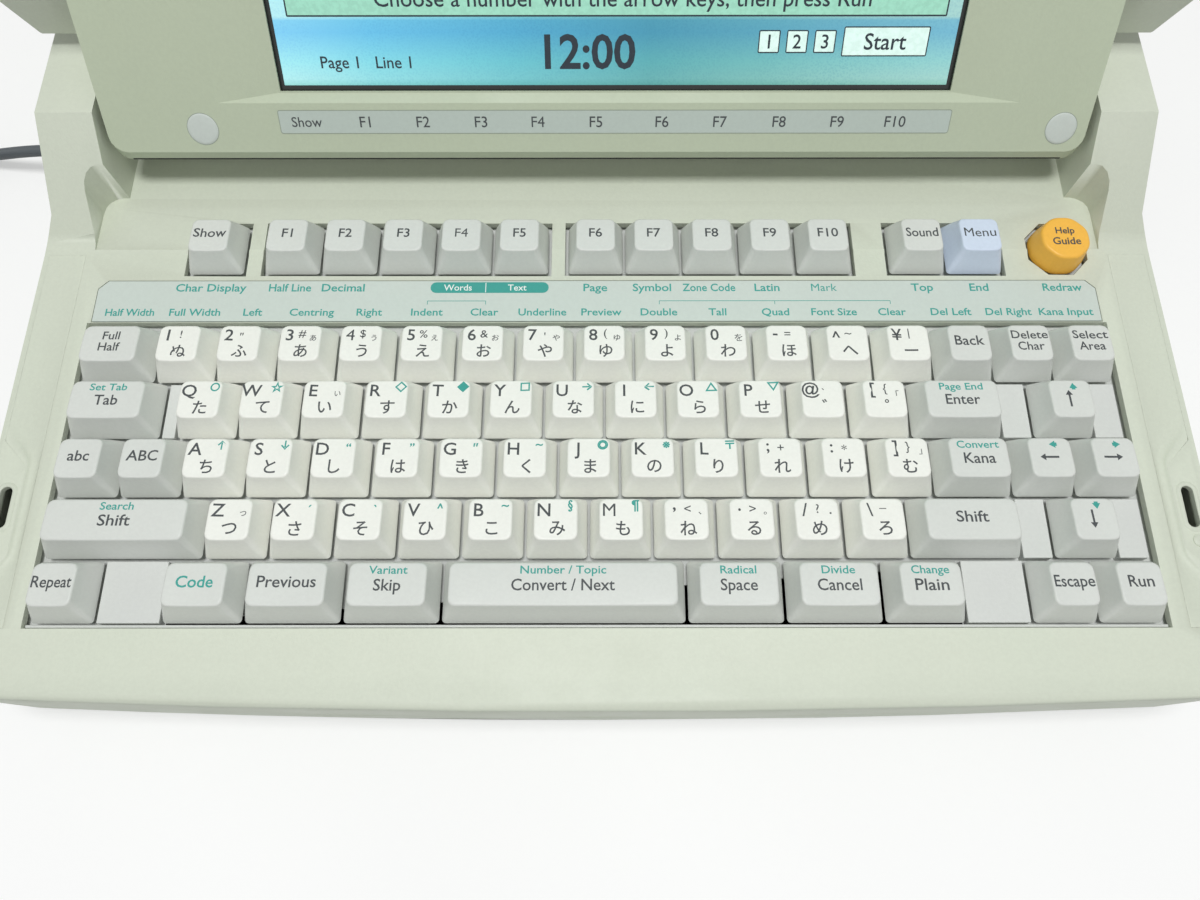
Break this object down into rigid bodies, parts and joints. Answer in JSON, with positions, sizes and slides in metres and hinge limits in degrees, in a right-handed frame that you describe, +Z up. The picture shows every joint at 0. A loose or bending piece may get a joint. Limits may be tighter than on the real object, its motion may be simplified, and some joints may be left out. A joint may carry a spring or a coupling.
{
  "type": "electronic word processor",
  "caption": "Desktop word processor with a hinged screen lid, full keyboard, side disk drive and a built-in printer under a rear cover.",
  "frame": {"origin": "centre of the machine on the table, under its feet, lid open", "axes": "+X to the user's right, +Y away from the user, +Z up"},
  "size_m": [0.5182, 0.3466, 0.2408],
  "materials": {
    "case_plastic": "fine matt texture, pale grey green",
    "bezel_plastic": "fine matt texture, grey green",
    "white_key_plastic": "satin, off white",
    "grey_key_plastic": "satin, light grey",
    "blue_key_plastic": "satin, pale blue",
    "orange_key_plastic": "satin, orange",
    "frame_plastic": "matt, light grey",
    "membrane_rubber": "matt, mid grey",
    "label_film": "smooth printed film, pale grey green",
    "screen_glass": "glossy, teal liquid crystal panel",
    "plated_steel": "plain plated",
    "board_resin": "green circuit board",
    "dark_plastic": "matt, near black",
    "platen_rubber": "ground rubber, black",
    "foot_rubber": "matt, black",
    "cord_vinyl": "satin, dark grey"
  },
  "bodies": {
    "base": {"upper_case": "case_plastic", "lower_case": "case_plastic", "key_frame": "frame_plastic", "key_membrane": "membrane_rubber", "label_plate": "label_film", "main_board": "board_resin", "power_supply": "plated_steel", "disk_drive": "dark_plastic", "carriage_rod": "plated_steel", "hinge_pin_left": "plated_steel", "hinge_pin_right": "plated_steel", "foot_front_left": "foot_rubber", "foot_front_right": "foot_rubber", "foot_rear_left": "foot_rubber", "foot_rear_right": "foot_rubber", "cord_gland": "cord_vinyl", "power_cord": "cord_vinyl", "cord_coil": "cord_vinyl", "power_plug": "cord_vinyl"},
    "lid": {"lid_cover": "case_plastic", "lid_bezel": "bezel_plastic", "lcd_screen": "screen_glass"},
    "latch_left": {"latch_hook_left": "bezel_plastic"},
    "latch_right": {"latch_hook_right": "bezel_plastic"},
    "eject": {"eject_button": "dark_plastic"},
    "platen": {"platen_roller": "platen_rubber"},
    "carriage": {"print_head": "dark_plastic"},
    "cover": {"printer_cover": "case_plastic"},
    "switch": {"power_switch": "dark_plastic"},
    "contrast": {"contrast_wheel": "dark_plastic"},
    "white_keys_row_1": {"white_keys_row_1": "white_key_plastic"},
    "white_keys_row_2": {"white_keys_row_2": "white_key_plastic"},
    "white_keys_row_3": {"white_keys_row_3": "white_key_plastic"},
    "white_keys_row_4": {"white_keys_row_4": "white_key_plastic"},
    "width_key": {"width_key": "grey_key_plastic"},
    "edit_keys": {"edit_keys": "grey_key_plastic"},
    "tab_key": {"tab_key": "grey_key_plastic"},
    "return_key": {"return_key": "grey_key_plastic"},
    "arrow_up_key": {"arrow_up_key": "grey_key_plastic"},
    "arrow_down_key": {"arrow_down_key": "grey_key_plastic"},
    "arrow_left_key": {"arrow_left_key": "grey_key_plastic"},
    "arrow_right_key": {"arrow_right_key": "grey_key_plastic"},
    "case_keys": {"case_keys": "grey_key_plastic"},
    "kana_key": {"kana_key": "grey_key_plastic"},
    "shift_key_left": {"shift_key_left": "grey_key_plastic"},
    "shift_key_right": {"shift_key_right": "grey_key_plastic"},
    "repeat_key": {"repeat_key": "grey_key_plastic"},
    "code_key": {"code_key": "grey_key_plastic"},
    "candidate_keys": {"candidate_keys": "grey_key_plastic"},
    "convert_key": {"convert_key": "grey_key_plastic"},
    "space_key": {"space_key": "grey_key_plastic"},
    "cancel_keys": {"cancel_keys": "grey_key_plastic"},
    "run_keys": {"run_keys": "grey_key_plastic"},
    "function_keys_left": {"function_keys_left": "grey_key_plastic"},
    "function_keys_right": {"function_keys_right": "grey_key_plastic"},
    "display_key": {"display_key": "grey_key_plastic"},
    "dictionary_key": {"dictionary_key": "grey_key_plastic"},
    "menu_key": {"menu_key": "blue_key_plastic"},
    "guide_key": {"guide_key": "orange_key_plastic"}
  },
  "joints": [
    {"name": "lid_hinge", "type": "hinge", "parent": "base", "child": "lid", "pos_m": [0, 0.02235, 0.0696], "axis": [1, 0, 0], "range_deg": [-15, 125]},
    {"name": "latch_left_slide", "type": "slide", "parent": "lid", "child": "latch_left", "axis": [0, -0.5736, -0.8192], "range_m": [0, 0.0024], "stiffness_N_per_m": 150, "springref_m": -0.002},
    {"name": "latch_right_slide", "type": "slide", "parent": "lid", "child": "latch_right", "axis": [0, -0.5736, -0.8192], "range_m": [0, 0.0024], "stiffness_N_per_m": 150, "springref_m": -0.002},
    {"name": "eject_push", "type": "slide", "parent": "base", "child": "eject", "axis": [-1, 0, 0], "range_m": [0, 0.0025], "stiffness_N_per_m": 200, "springref_m": -0.002},
    {"name": "platen_turn", "type": "hinge", "parent": "base", "child": "platen", "pos_m": [0, 0.12925, 0.055], "axis": [1, 0, 0], "continuous": true},
    {"name": "carriage_slide", "type": "slide", "parent": "base", "child": "carriage", "axis": [1, 0, 0], "range_m": [-0.095, 0.095]},
    {"name": "cover_hinge", "type": "hinge", "parent": "base", "child": "cover", "pos_m": [0, 0.14225, 0.074], "axis": [-1, 0, 0], "range_deg": [0, 95]},
    {"name": "switch_rock", "type": "hinge", "parent": "base", "child": "switch", "pos_m": [-0.18431, 0.10325, 0.0365], "axis": [0, 0, -1], "range_deg": [0, 12]},
    {"name": "contrast_turn", "type": "hinge", "parent": "base", "child": "contrast", "pos_m": [0.17551, -0.08925, 0.0307], "axis": [0, 0, 1], "range_deg": [-130, 130]},
    {"name": "white_keys_row_1_press", "type": "slide", "parent": "base", "child": "white_keys_row_1", "axis": [0, 0, -1], "range_m": [0, 0.0032], "stiffness_N_per_m": 300, "springref_m": -0.003},
    {"name": "white_keys_row_2_press", "type": "slide", "parent": "base", "child": "white_keys_row_2", "axis": [0, 0, -1], "range_m": [0, 0.0032], "stiffness_N_per_m": 300, "springref_m": -0.003},
    {"name": "white_keys_row_3_press", "type": "slide", "parent": "base", "child": "white_keys_row_3", "axis": [0, 0, -1], "range_m": [0, 0.0032], "stiffness_N_per_m": 300, "springref_m": -0.003},
    {"name": "white_keys_row_4_press", "type": "slide", "parent": "base", "child": "white_keys_row_4", "axis": [0, 0, -1], "range_m": [0, 0.0032], "stiffness_N_per_m": 300, "springref_m": -0.003},
    {"name": "width_key_press", "type": "slide", "parent": "base", "child": "width_key", "axis": [0, 0, -1], "range_m": [0, 0.0032], "stiffness_N_per_m": 300, "springref_m": -0.003},
    {"name": "edit_keys_press", "type": "slide", "parent": "base", "child": "edit_keys", "axis": [0, 0, -1], "range_m": [0, 0.0032], "stiffness_N_per_m": 300, "springref_m": -0.003},
    {"name": "tab_key_press", "type": "slide", "parent": "base", "child": "tab_key", "axis": [0, 0, -1], "range_m": [0, 0.0032], "stiffness_N_per_m": 300, "springref_m": -0.003},
    {"name": "return_key_press", "type": "slide", "parent": "base", "child": "return_key", "axis": [0, 0, -1], "range_m": [0, 0.0032], "stiffness_N_per_m": 300, "springref_m": -0.003},
    {"name": "arrow_up_key_press", "type": "slide", "parent": "base", "child": "arrow_up_key", "axis": [0, 0, -1], "range_m": [0, 0.0032], "stiffness_N_per_m": 300, "springref_m": -0.003},
    {"name": "arrow_down_key_press", "type": "slide", "parent": "base", "child": "arrow_down_key", "axis": [0, 0, -1], "range_m": [0, 0.0032], "stiffness_N_per_m": 300, "springref_m": -0.003},
    {"name": "arrow_left_key_press", "type": "slide", "parent": "base", "child": "arrow_left_key", "axis": [0, 0, -1], "range_m": [0, 0.0032], "stiffness_N_per_m": 300, "springref_m": -0.003},
    {"name": "arrow_right_key_press", "type": "slide", "parent": "base", "child": "arrow_right_key", "axis": [0, 0, -1], "range_m": [0, 0.0032], "stiffness_N_per_m": 300, "springref_m": -0.003},
    {"name": "case_keys_press", "type": "slide", "parent": "base", "child": "case_keys", "axis": [0, 0, -1], "range_m": [0, 0.0032], "stiffness_N_per_m": 300, "springref_m": -0.003},
    {"name": "kana_key_press", "type": "slide", "parent": "base", "child": "kana_key", "axis": [0, 0, -1], "range_m": [0, 0.0032], "stiffness_N_per_m": 300, "springref_m": -0.003},
    {"name": "shift_key_left_press", "type": "slide", "parent": "base", "child": "shift_key_left", "axis": [0, 0, -1], "range_m": [0, 0.0032], "stiffness_N_per_m": 300, "springref_m": -0.003},
    {"name": "shift_key_right_press", "type": "slide", "parent": "base", "child": "shift_key_right", "axis": [0, 0, -1], "range_m": [0, 0.0032], "stiffness_N_per_m": 300, "springref_m": -0.003},
    {"name": "repeat_key_press", "type": "slide", "parent": "base", "child": "repeat_key", "axis": [0, 0, -1], "range_m": [0, 0.0032], "stiffness_N_per_m": 300, "springref_m": -0.003},
    {"name": "code_key_press", "type": "slide", "parent": "base", "child": "code_key", "axis": [0, 0, -1], "range_m": [0, 0.0032], "stiffness_N_per_m": 300, "springref_m": -0.003},
    {"name": "candidate_keys_press", "type": "slide", "parent": "base", "child": "candidate_keys", "axis": [0, 0, -1], "range_m": [0, 0.0032], "stiffness_N_per_m": 300, "springref_m": -0.003},
    {"name": "convert_key_press", "type": "slide", "parent": "base", "child": "convert_key", "axis": [0, 0, -1], "range_m": [0, 0.0032], "stiffness_N_per_m": 300, "springref_m": -0.003},
    {"name": "space_key_press", "type": "slide", "parent": "base", "child": "space_key", "axis": [0, 0, -1], "range_m": [0, 0.0032], "stiffness_N_per_m": 300, "springref_m": -0.003},
    {"name": "cancel_keys_press", "type": "slide", "parent": "base", "child": "cancel_keys", "axis": [0, 0, -1], "range_m": [0, 0.0032], "stiffness_N_per_m": 300, "springref_m": -0.003},
    {"name": "run_keys_press", "type": "slide", "parent": "base", "child": "run_keys", "axis": [0, 0, -1], "range_m": [0, 0.0032], "stiffness_N_per_m": 300, "springref_m": -0.003},
    {"name": "function_keys_left_press", "type": "slide", "parent": "base", "child": "function_keys_left", "axis": [0, 0, -1], "range_m": [0, 0.0032], "stiffness_N_per_m": 300, "springref_m": -0.003},
    {"name": "function_keys_right_press", "type": "slide", "parent": "base", "child": "function_keys_right", "axis": [0, 0, -1], "range_m": [0, 0.0032], "stiffness_N_per_m": 300, "springref_m": -0.003},
    {"name": "display_key_press", "type": "slide", "parent": "base", "child": "display_key", "axis": [0, 0, -1], "range_m": [0, 0.0032], "stiffness_N_per_m": 300, "springref_m": -0.003},
    {"name": "dictionary_key_press", "type": "slide", "parent": "base", "child": "dictionary_key", "axis": [0, 0, -1], "range_m": [0, 0.0032], "stiffness_N_per_m": 300, "springref_m": -0.003},
    {"name": "menu_key_press", "type": "slide", "parent": "base", "child": "menu_key", "axis": [0, 0, -1], "range_m": [0, 0.0032], "stiffness_N_per_m": 300, "springref_m": -0.003},
    {"name": "guide_key_press", "type": "slide", "parent": "base", "child": "guide_key", "axis": [0, 0, -1], "range_m": [0, 0.0032], "stiffness_N_per_m": 300, "springref_m": -0.003}
  ]
}
